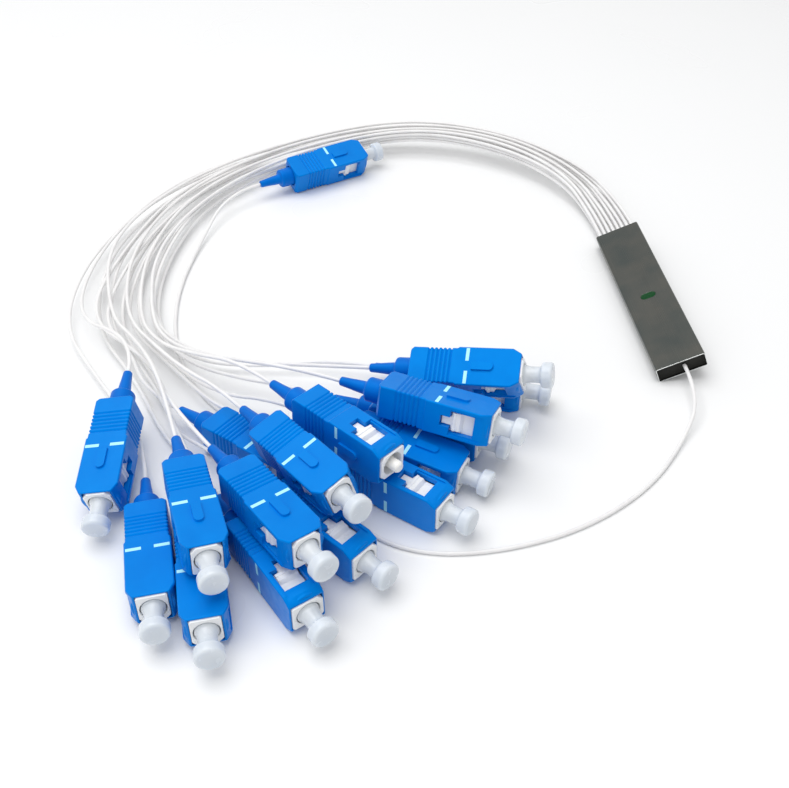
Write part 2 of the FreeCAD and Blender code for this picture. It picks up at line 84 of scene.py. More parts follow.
# ---- finishes
class NodeSheet:
    """The node tree of one material, with short ways to add and join its nodes."""

    def __init__(self, name: str) -> None:
        """Start a material that holds only its principled shader.

        Args:
            name: the material's name.
        """
        self.material = bpy.data.materials.new(name)
        self.material.use_nodes = True
        self.tree = self.material.node_tree
        self.shader = self.tree.nodes["Principled BSDF"]

    def add(self, kind: str, **values: object) -> bpy.types.Node:
        """Add a node.

        Args:
            kind: the node's type name.
            **values: its sockets' values, by names with underscores for spaces.

        Returns:
            The new node.
        """
        node = self.tree.nodes.new(kind)
        self.fill(node, **values)
        return node

    def fill(self, node: bpy.types.Node, **values: object) -> None:
        """Set a node's sockets, by names with underscores for spaces."""
        for name, value in values.items():
            node.inputs[name.replace("_", " ")].default_value = value

    def join(self, source: Socket, target: Socket) -> None:
        """Link an output socket to an input socket."""
        self.tree.links.new(source, target)

    def noise(self, scale: float, detail: float,
              stretch: Sequence[float] = (1.0, 1.0, 1.0)) -> Socket:
        """Return a grey noise pattern, laid out in the object's own millimetres.

        Args:
            scale: cycles per millimetre before the stretch.
            detail: the number of octaves.
            stretch: the factor for each axis.

        Returns:
            The pattern's output.
        """
        pattern = self.add("ShaderNodeTexNoise", Scale=scale, Detail=detail)
        coordinates = self.add("ShaderNodeTexCoord")
        mapping = self.add("ShaderNodeMapping", Scale=[s / MM for s in stretch])
        self.join(coordinates.outputs["Object"], mapping.inputs["Vector"])
        self.join(mapping.outputs["Vector"], pattern.inputs["Vector"])
        return pattern.outputs["Fac"]

    def spread(self, pattern: Socket, low: float, high: float) -> Socket:
        """Return a noise pattern rescaled from its usual range to another.

        Args:
            pattern: the pattern.
            low: the value at the start of the pattern's range.
            high: the value at its end.

        Returns:
            The rescaled output.
        """
        start, end = NOISE_RANGE
        node = self.add("ShaderNodeMapRange", From_Min=start, From_Max=end, To_Min=low,
                        To_Max=high)
        self.join(pattern, node.inputs["Value"])
        return node.outputs["Result"]

    def mottle(self, pattern: Socket, first: Colour, second: Colour) -> None:
        """Let the surface's colour move between two colours with a pattern.

        Args:
            pattern: the pattern.
            first: the colour at the start of the pattern's range.
            second: the colour at its end.
        """
        share = self.spread(pattern, 0.0, 1.0)
        node = self.add("ShaderNodeMix")
        node.data_type = "RGBA"
        for socket in node.inputs:
            if socket.type == "RGBA":
                socket.default_value = (*(first if socket.name == "A" else second), 1.0)
        self.join(share, node.inputs["Factor"])
        blend = next(socket for socket in node.outputs if socket.type == "RGBA")
        self.join(blend, self.shader.inputs["Base Color"])

    def gloss(self, pattern: Socket, middle: float, below: float, above: float) -> None:
        """Let the roughness move with a pattern, from below its middle value to above it."""
        roughness = self.spread(pattern, middle - below, middle + above)
        self.join(roughness, self.shader.inputs["Roughness"])

    def bump(self, pattern: Socket, depth: float) -> None:
        """Roughen the surface by a pattern.

        Args:
            pattern: the pattern.
            depth: the height of the relief in millimetres.
        """
        node = self.add("ShaderNodeBump", Distance=depth * MM, Strength=1.0)
        self.join(pattern, node.inputs["Height"])
        self.join(node.outputs["Normal"], self.shader.inputs["Normal"])


@dataclass(frozen=True)
class MouldedPlastic:
    """A moulded plastic with a slight drift of colour, fine grain and uneven gloss."""

    name: str
    colour: Colour
    drift: Colour
    roughness: float
    grain_depth: float = 0.0
    grain_scale: float = 5.0
    milkiness: float = 0.0
    clarity: float = 0.0
    gleam: Colour = (1.0, 1.0, 1.0)

    CLOUD_SCALE: ClassVar[float] = 0.18
    PATCH_SCALE: ClassVar[float] = 0.6
    UNEVEN: ClassVar[Pair] = (0.06, 0.08)

    def build(self) -> Material:
        """Build the finish.

        Returns:
            The material.
        """
        sheet = NodeSheet(self.name)
        sheet.mottle(sheet.noise(self.CLOUD_SCALE, 2.0), self.colour, self.drift)
        sheet.gloss(sheet.noise(self.PATCH_SCALE, 4.0), self.roughness, *self.UNEVEN)
        if self.grain_depth > 0.0:
            sheet.bump(sheet.noise(self.grain_scale, 2.0), self.grain_depth)
        sheet.fill(sheet.shader, IOR=PLASTIC_IOR, Transmission_Weight=self.clarity,
                   Specular_Tint=(*self.gleam, 1.0))
        if self.milkiness > 0.0:
            sheet.fill(sheet.shader, Subsurface_Weight=self.milkiness,
                       Subsurface_Scale=SCATTER_DEPTH * MM, Subsurface_Radius=(1.0, 1.0, 1.0))
        return sheet.material


@dataclass(frozen=True)
class DrawnSteel:
    """Drawn steel with faint lengthwise lines and smears of a second cast."""

    name: str
    colour: Colour
    smear: Colour
    roughness: float = 0.24
    line_depth: float = 0.0006

    SMEAR_SCALE: ClassVar[float] = 0.12
    LINE_STRETCH: ClassVar[tuple[float, ...]] = (0.05, 9.0, 9.0)
    UNEVEN: ClassVar[Pair] = (0.02, 0.04)

    def build(self) -> Material:
        """Build the finish.

        Returns:
            The material.
        """
        sheet = NodeSheet(self.name)
        sheet.mottle(sheet.noise(self.SMEAR_SCALE, 5.0), self.colour, self.smear)
        lines = sheet.noise(1.0, 4.0, self.LINE_STRETCH)
        sheet.gloss(lines, self.roughness, *self.UNEVEN)
        sheet.bump(lines, self.line_depth)
        sheet.fill(sheet.shader, Metallic=1.0, Anisotropic=0.2)
        return sheet.material


@dataclass(frozen=True)
class StudioFloor:
    """A smooth white table top with a faint sheen."""

    name: str
    colour: Colour
    roughness: float = 0.3

    HAZE_SCALE: ClassVar[float] = 0.02
    UNEVEN: ClassVar[Pair] = (0.04, 0.04)

    def build(self) -> Material:
        """Build the finish.

        Returns:
            The material.
        """
        sheet = NodeSheet(self.name)
        sheet.gloss(sheet.noise(self.HAZE_SCALE, 2.0), self.roughness, *self.UNEVEN)
        sheet.fill(sheet.shader, Base_Color=(*self.colour, 1.0), Specular_IOR_Level=0.3)
        return sheet.material


BLUE_GLEAM = (0.02, 0.5, 1.0)
PALETTE = (
    MouldedPlastic("grip_blue", (0.0, 0.205, 0.70), (0.0, 0.185, 0.66), roughness=0.34,
                   grain_depth=0.006, gleam=BLUE_GLEAM),
    MouldedPlastic("boot_blue", (0.001, 0.15, 0.62), (0.001, 0.13, 0.56), roughness=0.42,
                   grain_depth=0.01, gleam=BLUE_GLEAM),
    MouldedPlastic("print_white", (0.45, 0.9, 0.98), (0.4, 0.85, 0.95), roughness=0.5),
    MouldedPlastic("frame_white", (0.93, 0.94, 0.94), (0.9, 0.91, 0.92), roughness=0.3,
                   grain_depth=0.004, milkiness=0.2),
    MouldedPlastic("cap_clear", (0.69, 0.73, 0.775), (0.63, 0.68, 0.74), roughness=0.22,
                   milkiness=0.8),
    MouldedPlastic("ceramic", (0.93, 0.92, 0.89), (0.9, 0.89, 0.85), roughness=0.16,
                   milkiness=0.2),
    MouldedPlastic("tube_white", (0.86, 0.855, 0.85), (0.8, 0.79, 0.79), roughness=0.4,
                   milkiness=0.3),
    DrawnSteel("drawn_steel", (0.175, 0.173, 0.156), (0.122, 0.138, 0.132)),
    # a much lighter copy of the steel for the tube's end rims: a painted highlight
    DrawnSteel("cut_steel", (0.8, 0.81, 0.8), (0.7, 0.72, 0.71)),
    MouldedPlastic("potting_black", (0.012, 0.012, 0.012), (0.02, 0.02, 0.019), roughness=0.6,
                   grain_depth=0.04, grain_scale=1.6, gleam=(0.35, 0.35, 0.3)),
    MouldedPlastic("glue_green", (0.004, 0.045, 0.012), (0.006, 0.065, 0.018), roughness=0.25,
                   grain_depth=0.03, grain_scale=0.8, gleam=(0.1, 0.25, 0.12)),
    MouldedPlastic("chip_glass", (0.72, 0.78, 0.82), (0.66, 0.74, 0.8), roughness=0.1,
                   clarity=0.5),
)
Finishes = dict[str, Material]  # every finish by its name


# ---- mesh tools
class Cut(Enum):
    """What a cutter does to a body: take away, join on, or keep what both share."""

    AWAY = "DIFFERENCE"
    JOIN = "UNION"
    KEEP = "INTERSECT"


def arc(x: float, radius: float, size: float, start: float, end: float, steps: int) -> Profile:
    """Return points on a circle in the plane of a profile.

    Args:
        x: the circle's centre along the axis.
        radius: its centre's distance from the axis.
        size: the circle's radius.
        start: the first angle in degrees, where 0 points along +X.
        end: the last angle in degrees.
        steps: the number of chords.

    Returns:
        The points, as (x, radius) pairs.
    """
    angles = [math.radians(start + (end - start) * step / steps) for step in range(steps + 1)]
    return [(x + size * math.cos(a), radius + size * math.sin(a)) for a in angles]


def rounded_ring(width: float, height: float, radius: float, steps: int = 4) -> Profile:
    """Return a rounded rectangle's corner points, anticlockwise.

    Args:
        width: its full width.
        height: its full height.
        radius: the radius of its corners.
        steps: the number of chords in each corner.

    Returns:
        The points, as (y, z) pairs.
    """
    points: Profile = []
    for y_side, z_side, start in ((1, 1, 0), (-1, 1, 90), (-1, -1, 180), (1, -1, 270)):
        points += arc(y_side * (width / 2 - radius), z_side * (height / 2 - radius), radius,
                      start, start + 90, steps)
    return points


def band(bm: BMesh, rows: Sequence[Sequence[bmesh.types.BMVert]]) -> None:
    """Join closed rows of vertices, each to the next, with four-sided faces.

    Args:
        bm: the mesh that holds them.
        rows: the rows, with as many vertices in each.
    """
    for near, far in zip(rows, rows[1:]):
        for i in range(len(near)):
            j = (i + 1) % len(near)
            bm.faces.new((near[i], near[j], far[j], far[i]))


def skin(rows: Sequence[Sequence[Sequence[float]]]) -> Mesh:
    """Return a closed shape through rows of points, capped at both ends.

    Args:
        rows: the rows, with as many points in each.

    Returns:
        The mesh.
    """
    bm = bmesh.new()
    rings = [[bm.verts.new(point) for point in row] for row in rows]
    band(bm, rings)
    bm.faces.new(reversed(rings[0]))
    bm.faces.new(rings[-1])
    return closed(bm)


def loft(rings: Sequence[tuple[float, Profile]]) -> Mesh:
    """Return a closed shape through places on X, each with its ring of (y, z) points."""
    return skin([[(x, y, z) for y, z in ring] for x, ring in rings])


def lathe(profile: Profile, segments: int = 48) -> Mesh:
    """Return a shape turned about X from an open profile that starts and ends on the axis.

    Args:
        profile: (x, radius) points; the first and last have radius 0.
        segments: the number of steps round the axis.

    Returns:
        The closed mesh.
    """
    bm = bmesh.new()
    first = bm.verts.new((profile[0][0], 0, 0))
    last = bm.verts.new((profile[-1][0], 0, 0))
    angles = [2 * math.pi * step / segments for step in range(segments)]
    rows = [[bm.verts.new((x, r * math.cos(a), r * math.sin(a))) for a in angles]
            for x, r in profile[1:-1]]
    band(bm, rows)
    for i in range(segments):
        j = (i + 1) % segments
        bm.faces.new((first, rows[0][j], rows[0][i]))
        bm.faces.new((last, rows[-1][i], rows[-1][j]))
    return closed(bm)


def prism(outline: Sequence[Sequence[float]], low: float, high: float, axis: Vector) -> Mesh:
    """Return a flat outline of 3D points, pushed along an axis from low to high."""
    return skin([[Vector(point) + axis * place for point in outline] for place in (low, high)])


def box(x0: float, x1: float, y0: float, y1: float, z0: float, z1: float) -> Mesh:
    """Return a plain block between two corners, used as a cutter."""
    outline = [(x0, y0, 0), (x1, y0, 0), (x1, y1, 0), (x0, y1, 0)]
    return prism(outline, z0, z1, UP)


def to_mesh(bm: BMesh) -> Mesh:
    """Turn a bmesh into a mesh, and free it.

    Args:
        bm: the bmesh.

    Returns:
        The mesh.
    """
    mesh = bpy.data.meshes.new("shape")
    bm.to_mesh(mesh)
    bm.free()
    return mesh


def closed(bm: BMesh) -> Mesh:
    """Return a closed bmesh as a mesh whose faces all point outwards."""
    bmesh.ops.recalc_face_normals(bm, faces=bm.faces)
    return to_mesh(bm)


def span(side: int, near: float, far: float) -> list[float]:
    """Return two distances from the middle towards one side, the lower place first."""
    return sorted((side * near, side * far))


def put(name: str, data: bpy.types.ID) -> Object:
    """Put a new object in the scene.

    Args:
        name: its name.
        data: the mesh, curve, lamp or camera that it shows.

    Returns:
        The object.
    """
    thing = bpy.data.objects.new(name, data)
    bpy.context.scene.collection.objects.link(thing)
    return thing


def aim(thing: Object, place: Sequence[float], direction: Vector) -> None:
    """Stand a lamp or camera at a place and let it look along a direction."""
    thing.location = place
    thing.rotation_euler = direction.to_track_quat("-Z", "Y").to_euler()


def carve(body: Mesh, cutter: Mesh, cut: Cut = Cut.AWAY) -> Mesh:
    """Return a body cut by, or joined with, another mesh.

    Args:
        body: the closed mesh that is worked on.
        cutter: the closed mesh that works on it.
        cut: what the cutter does.

    Returns:
        The new mesh.
    """
    holders = [put("carving", mesh) for mesh in (body, cutter)]
    modifier = holders[0].modifiers.new("cut", "BOOLEAN")
    modifier.object = holders[1]
    modifier.operation = cut.value
    modifier.solver = "EXACT"
    depsgraph = bpy.context.evaluated_depsgraph_get()
    carved = bpy.data.meshes.new_from_object(holders[0].evaluated_get(depsgraph))
    for holder in holders:
        bpy.data.objects.remove(holder)
    return carved


def soften(mesh: Mesh, width: float) -> Mesh:
    """Round a mesh's sharp edges and shade the rest smooth.

    Args:
        mesh: the mesh, which is changed.
        width: the width of the rounding.

    Returns:
        The same mesh.
    """
    bm = bmesh.new()
    bm.from_mesh(mesh)
    bmesh.ops.remove_doubles(bm, verts=bm.verts, dist=MERGE_DISTANCE)
    bmesh.ops.dissolve_limit(bm, angle_limit=math.radians(FLAT_TURN), verts=bm.verts,
                             edges=bm.edges)
    limit = math.radians(SHARP_TURN)
    sharp = [e for e in bm.edges if e.is_manifold and e.calc_face_angle(0.0) > limit]
    bmesh.ops.bevel(bm, geom=sharp, offset=width, segments=BEVEL_FACES, profile=0.5,
                    affect="EDGES", clamp_overlap=True)
    bm.to_mesh(mesh)
    bm.free()
    return shade(mesh, SMOOTH_TURN)


def shade(mesh: Mesh, corner: float) -> Mesh:
    """Shade a mesh smooth, except across sharp edges.

    Args:
        mesh: the mesh, which is changed.
        corner: the turn, in degrees, above which an edge stays crisp.

    Returns:
        The same mesh.
    """
    mesh.shade_smooth()
    mesh.set_sharp_from_angle(angle=math.radians(corner))
    return mesh


@dataclass
class Piece:
    """One finished piece: its mesh in millimetres, its finishes, and what it stands for."""

    name: str
    mesh: Mesh
    finishes: Sequence[Material]
    body: str
    slot: str
    replaces: Sequence[str]

    def place(self, pose: Matrix) -> Object:
        """Put the piece at its place, hang it on its body and hide what it stands for.

        Args:
            pose: where the piece's own frame lies in the row frame.

        Returns:
            The piece's object.
        """
        mesh = self.mesh.copy()
        mesh.transform(Matrix.Scale(MM, 4))
        mesh.transform(pose)
        for finish in self.finishes:
            mesh.materials.append(finish)
        piece = put(self.name, mesh)
        smooth = piece.modifiers.new("weighted normals", "WEIGHTED_NORMAL")
        smooth.keep_sharp = True
        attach(piece, self.body)
        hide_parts(*self.replaces)
        return piece


# ---- plugs
@dataclass
class PlugShapes:
    """The push-pull plug's pieces, drawn once from the grip's rear, in millimetres."""

    grip_length: float = 25.0
    grip_width: float = 9.0
    grip_height: float = 7.4
    waist_inset: float = 0.3
    waist_end: float = 10.6
    waist_step: float = 0.5
    side_wall: float = 1.5
    face_wall: float = 0.9
    nose_face_wall: float = 0.35
    nose_start: float = 11.2
    rear_wall: float = 1.5
    rear_round: float = 0.7
    nose_taper: float = 1.1
    nose_taper_length: float = 1.9
    corner_radius: float = 0.35
    lobe_drop: float = 0.1
    lobe_setback: float = 0.3
    lobe_length: float = 2.4
    lobe_round: float = 0.35
    groove_start: float = 3.9
    groove_count: int = 6
    groove_pitch: float = 1.0
    groove_width: float = 0.75
    groove_depth: float = 0.26
    key_start: float = 14.2
    key_length: float = 4.9
    key_width: float = 1.9
    key_height: float = 0.5
    slot_start: float = 14.4
    slot_width: float = 2.4
    window_start: float = 16.5
    window_length: float = 5.2
    window_width: float = 5.0
    track_width: float = 5.8
    track_depth: float = 0.3
    bar_place: float = 13.1
    bar_inner: float = 1.2
    bar_outer: float = 4.15
    bar_width: float = 0.75
    clearance: float = 0.1
    frame_start: float = 2.1
    frame_step: float = 11.5
    frame_step_run: float = 0.3
    frame_end: float = 25.4
    frame_key_edge: float = 1.0
    frame_edge: float = 0.3
    latch_height: float = 1.0
    latch_length: float = 2.7
    latch_gap: float = 0.2
    latch_neck_end: float = 0.15
    latch_leg_drop: float = 0.35
    latch_crest_start: float = 0.6
    latch_crest_end: float = 1.15
    latch_shelf_drop: float = 0.22
    latch_ramp: float = 0.6
    latch_step: float = 0.1
    bore: float = 5.0
    bore_depth: float = 8.0
    ferrule: float = 2.5
    ferrule_tip: float = 27.4
    collar: float = 5.4
    collar_clearance: float = 0.3
    collar_length: float = 4.0
    collar_dome: float = 0.7
    boot_tip: float = -10.3
    boot_mouth: float = 0.47
    boot_lip: float = 0.42
    boot_flare: float = 0.75
    rolled_edge: float = 0.08
    reach: float = 0.5
    cap_insertion: float = 3.8
    cap_stem: float = 4.6
    cap_neck: float = 3.6
    cap_neck_length: float = 3.8
    cap_knob: float = 5.7
    cap_knob_length: float = 2.5

    GROOVE_STEPS: ClassVar[int] = 8
    # place, side inset and face inset of each step of the grip's two rims
    REAR_RIM: ClassVar[list[Point]] = [(0.0, 0.15, 0.22), (0.06, 0.0, 0.07), (0.2, -0.2, 0.0)]
    NOSE_RIM: ClassVar[list[Point]] = [(-0.07, 0.0, 0.04), (0.0, 0.1, 0.12)]
    # run and rise of the waist's soft corners, then of the nose taper's
    WAIST_EASE: ClassVar[Pair] = (0.08, 0.03)
    NOSE_EASE: ClassVar[Pair] = (0.25, 0.02)
    # distance from the front and inset, or outset, of each step of three edges
    FRAME_EDGE: ClassVar[Profile] = [(0.2, 0.0), (0.06, 0.05), (0.0, 0.15)]
    BORE_MOUTH: ClassVar[Profile] = [(-0.12, 0.0), (0.2, 0.3)]
    FERRULE_END: ClassVar[Profile] = [(0.42, 0.0), (0.38, 0.02), (0.06, 0.32), (0.02, 0.45)]
    # distance from the tip, or from the bore's mouth, and radius or what it adds
    BOOT_TAIL: ClassVar[Profile] = [(2.5, 1.16), (4.5, 1.36)]
    CAP_CONE: ClassVar[Profile] = [(0.75, 0.12), (1.4, 0.02), (2.2, -0.02)]

    def grip_stations(self) -> list[Point]:
        """Work out the grip's outer form along its length.

        Returns:
            The place, the side inset and the face inset of each station.
        """
        waist = self.waist_inset
        rear = waist + self.rear_round
        stations = [(x, rear + side, face) for x, side, face in self.REAR_RIM]
        stations += [(self.rear_round + x, waist, 0.0) for x in (0.0, 0.15)]
        for index in range(self.groove_count):
            start = self.groove_start + index * self.groove_pitch
            for step in range(self.GROOVE_STEPS + 1):
                share = step / self.GROOVE_STEPS
                depth = self.groove_depth * (1 - math.cos(2 * math.pi * share)) / 2
                stations.append((start + share * self.groove_width, waist + depth, depth))
        run, rise = self.WAIST_EASE
        flare = self.waist_end + self.waist_step
        stations += [(self.waist_end, waist, 0.0), (self.waist_end + run, waist - rise, 0.0),
                     (flare - run, rise, 0.0), (flare, 0.0, 0.0)]
        run, rise = self.NOSE_EASE
        end = self.grip_length
        nose = end - self.nose_taper_length
        slope = self.nose_taper / self.nose_taper_length
        stations += [(nose - 0.2, 0.0, 0.0), (nose, rise, 0.0),
                     (end - run, self.nose_taper - run * slope, 0.0)]
        return stations + [(end + x, self.nose_taper + side, face)
                           for x, side, face in self.NOSE_RIM]

    def grip(self) -> Mesh:
        """Make the grip: grooves, key, T-shaped windows, tracks, lobes and open nose.

        Returns:
            The mesh, with the printed bars as faces of the second finish.
        """
        width, height = self.grip_width, self.grip_height
        body = loft([(x, rounded_ring(width - 2 * side, height - 2 * face, self.corner_radius))
                     for x, side, face in self.grip_stations()])
        body = carve(body, self.key(), Cut.JOIN)
        for side in (-1, 1):
            for cutter in self.window_cutters(side):
                body = carve(body, cutter)
        body = carve(body, self.nose_lobes(), Cut.JOIN)
        for start, end, wall in (
            (self.rear_wall, self.nose_start + OVERSHOOT, self.face_wall),
            (self.nose_start, self.grip_length + PAST, self.nose_face_wall),
        ):
            ring = rounded_ring(width - 2 * self.side_wall, height - 2 * wall, 0.15, steps=2)
            body = carve(body, loft([(start, ring), (end, ring)]))
        hole = self.collar / 2 + self.collar_clearance
        front = self.rear_wall + PAST
        body = carve(body, lathe([(-PAST, 0), (-PAST, hole), (front, hole), (front, 0)]))
        return self.with_bars(soften(body, self.rolled_edge))

    def nose_lobes(self) -> Mesh:
        """Make the disc whose two sides fill out the tapered nose as round lobes.

        Returns:
            The closed mesh.
        """
        end = self.grip_length - self.lobe_setback
        start = end - self.lobe_length
        radius = self.grip_width / 2 - self.track_depth - self.lobe_drop
        turn = self.lobe_round
        profile = [(start, 0), (start, radius), *arc(end - turn, radius - turn, turn, 90, 0, 5),
                   (end, 0)]
        half = self.track_width / 2 - LOBE_GAP
        width = self.grip_width
        keep = box(start - PAST, end + PAST, -width, width, -half, half)
        return carve(lathe(profile, 64), keep, Cut.KEEP)

    def key(self) -> Mesh:
        """Make the raised key: square behind and round in front.

        Returns:
            The closed mesh.
        """
        half = self.key_width / 2
        centre = self.key_start + self.key_length - half
        outline = [(self.key_start, half), (self.key_start, -half),
                   *arc(centre, 0, half, -90, 90, 12)]
        top = self.grip_height / 2
        return prism([(x, y, 0) for x, y in outline], top - self.nose_face_wall / 2,
                     top + self.key_height, UP)

    def window_cutters(self, side: int) -> list[Mesh]:
        """Return the cutters of one side's latch window and of the track before it.

        Args:
            side: -1 or 1, the side of the grip.

        Returns:
            The cutters.
        """
        slot = self.slot_width / 2
        window = self.window_width / 2
        end = self.window_start + self.window_length
        outline = [(self.slot_start, 0, slot), (self.slot_start, 0, -slot),
                   (self.window_start, 0, -slot), (self.window_start, 0, -window),
                   (end, 0, -window), (end, 0, window),
                   (self.window_start, 0, window), (self.window_start, 0, slot)]
        outer = self.grip_width / 2
        outside = outer + self.reach
        deep = span(side, outer - self.side_wall - self.reach, outside)
        shallow = span(side, outer - self.track_depth, outside)
        track = self.track_width / 2
        return [prism(outline, *deep, ACROSS),
                box(self.window_start, self.grip_length + PAST, *shallow, -track, track)]

    def with_bars(self, grip: Mesh) -> Mesh:
        """Return the grip with its four printed bars, as faces of the second finish.

        Args:
            grip: the grip's mesh.

        Returns:
            The same mesh with the bars added.
        """
        bm = bmesh.new()
        bm.from_mesh(grip)
        start = self.bar_place - self.bar_width / 2
        top = self.grip_height / 2
        for face in (-1, 1):
            heights = span(face, top - PRINT_ROOT, top + PRINT_HEIGHT)
            for side in (-1, 1):
                across = span(side, self.bar_inner, self.bar_outer)
                known = set(bm.faces)
                bm.from_mesh(box(start, start + self.bar_width, *across, *heights))
                for new_face in set(bm.faces) - known:
                    new_face.material_index = 1
        bm.to_mesh(grip)
        bm.free()
        return grip

    def frame_outline(self, wall: float, key_edge: float, inset: float = 0.0) -> Profile:
        """Return the plug frame's eight-sided outline.

        Args:
            wall: the grip's wall above and below it.
            key_edge: how far the two corners on the key's side are cut.
            inset: how far the whole outline is drawn in.

        Returns:
            The points, as (y, z) pairs.
        """
        side = self.grip_width / 2 - self.side_wall - self.clearance - inset
        top = self.grip_height / 2 - wall - self.clearance - inset
        edge = self.frame_edge
        return [(side, top - key_edge), (side - key_edge, top), (key_edge - side, top),
                (-side, top - key_edge), (-side, edge - top), (edge - side, -top),
                (side - edge, -top), (side, edge - top)]

    def plug_frame(self) -> Mesh:
        """Make the white inner frame with its bore, latch pads and rounded front.

        Returns:
            The closed mesh.
        """
        end = self.frame_end
        rear = self.frame_outline(self.face_wall, self.frame_edge)
        front = (self.nose_face_wall, self.frame_key_edge)
        body = loft([(self.frame_start, rear), (self.frame_step, rear),
                     (self.frame_step + self.frame_step_run, self.frame_outline(*front)),
                     *((end - back, self.frame_outline(*front, inset))
                       for back, inset in self.FRAME_EDGE)])
        for side in (-1, 1):
            body = carve(body, self.latch_pad(side), Cut.JOIN)
        mouth = self.bore / 2
        bottom = end - self.bore_depth
        flare = [(end + x, mouth + out) for x, out in self.BORE_MOUTH]
        bore = lathe([(bottom, 0), (bottom, mouth), *flare, (flare[-1][0], 0)])
        return soften(carve(body, bore), 0.06)

    def latch_pad(self, side: int) -> Mesh:
        """Make one latch pad: a leg that widens into a stepped head with a sloping front.

        Args:
            side: -1 or 1, the side of the plug frame.

        Returns:
            The closed mesh.
        """
        base = self.grip_width / 2 - self.side_wall - self.clearance
        top = base + self.latch_height
        root = self.window_start
        leg = self.slot_start + self.latch_gap
        front = root + self.latch_length
        sunk = base - self.reach
        low, shelf = top - self.latch_leg_drop, top - self.latch_shelf_drop
        crest, crest_end = root + self.latch_crest_start, root + self.latch_crest_end
        profile = [(leg, sunk), (leg, low), (crest - self.latch_step, low), (crest, top),
                   (crest_end, top), (crest_end + self.latch_step, shelf),
                   (front - self.latch_ramp, shelf), (front, base), (front, sunk)]
        half = self.window_width / 2 - 2 * self.latch_gap
        neck = self.slot_width / 2 - self.latch_gap
        pad = prism([(x, side * y, 0) for x, y in profile], -half, half, UP)
        depths = span(side, sunk - self.reach, top + self.reach)
        neck_end = root + self.latch_neck_end
        for flank in (-1, 1):
            inner, outer = flank * neck, flank * (half + OVERSHOOT)
            shoulder = [(leg - PAST, 0, inner), (neck_end, 0, inner),
                        (neck_end + self.latch_gap, 0, outer), (leg - PAST, 0, outer)]
            pad = carve(pad, prism(shoulder, *depths, ACROSS))
        return pad

    def ferrule_rod(self) -> Mesh:
        """Make the ceramic ferrule with its chamfered, domed tip.

        Returns:
            The closed mesh.
        """
        radius = self.ferrule / 2
        start = self.frame_end - self.bore_depth - 2
        tip = self.ferrule_tip
        end = [(tip - back, radius - inset) for back, inset in self.FERRULE_END]
        return shade(lathe([(start, 0), (start, radius), *end, (tip, 0)]), corner=25.0)

    def boot(self) -> Mesh:
        """Make the boot: domed collar, flared root and a soft tapering tail.

        Returns:
            The closed mesh.
        """
        tip, mouth, lip = self.boot_tip, self.boot_mouth, self.boot_lip
        collar, dome = self.collar / 2, self.collar_dome
        profile = [
            (tip + 0.5, 0), (tip + 0.5, mouth), (tip + 0.1, mouth),
            *arc(tip + 0.5, 0.6, lip, 180, 90, 5),
            *((tip + x, radius) for x, radius in self.BOOT_TAIL),
            *arc(-self.collar_length - 0.5, 2.2, self.boot_flare, 270, 345, 5),
            *arc(-self.collar_length + 0.9, collar - dome, dome, 165, 90, 5),
            (self.frame_start, collar), (self.frame_start, 0),
        ]
        return shade(lathe(profile), corner=40.0)

    def dust_cap(self) -> Mesh:
        """Make the dust cap: a bulb in the bore, a cone down to the neck and a round knob.

        Returns:
            The closed mesh.
        """
        end = self.frame_end
        start = end - self.cap_insertion
        stem, neck, knob = self.cap_stem / 2, self.cap_neck / 2, self.cap_knob / 2
        shoulder = end + self.cap_neck_length
        tip = shoulder + self.cap_knob_length
        hollow = self.ferrule / 2 + 0.05
        hollow_end = self.ferrule_tip + 0.3
        profile = [
            (hollow_end, 0), (hollow_end, hollow), (start, hollow),
            *arc(start + 0.4, stem - 0.4, 0.4, 180, 90, 4),
            *arc(end - 0.25, stem - 0.5, 0.5, 90, 35, 5),
            *((end + x, neck + out) for x, out in self.CAP_CONE),
            (shoulder - 0.6, neck),
            *arc(shoulder - 0.6, neck + 0.6, 0.6, 285, 355, 5),
            *arc(shoulder + 0.55, knob - 0.55, 0.55, 165, 90, 6),
            *arc(tip - 0.6, knob - 0.6, 0.6, 90, 5, 7),
            (tip - 0.02, knob - 0.95), (tip - 0.05, 0.0),
        ]
        return shade(lathe(profile, 56), corner=50.0)


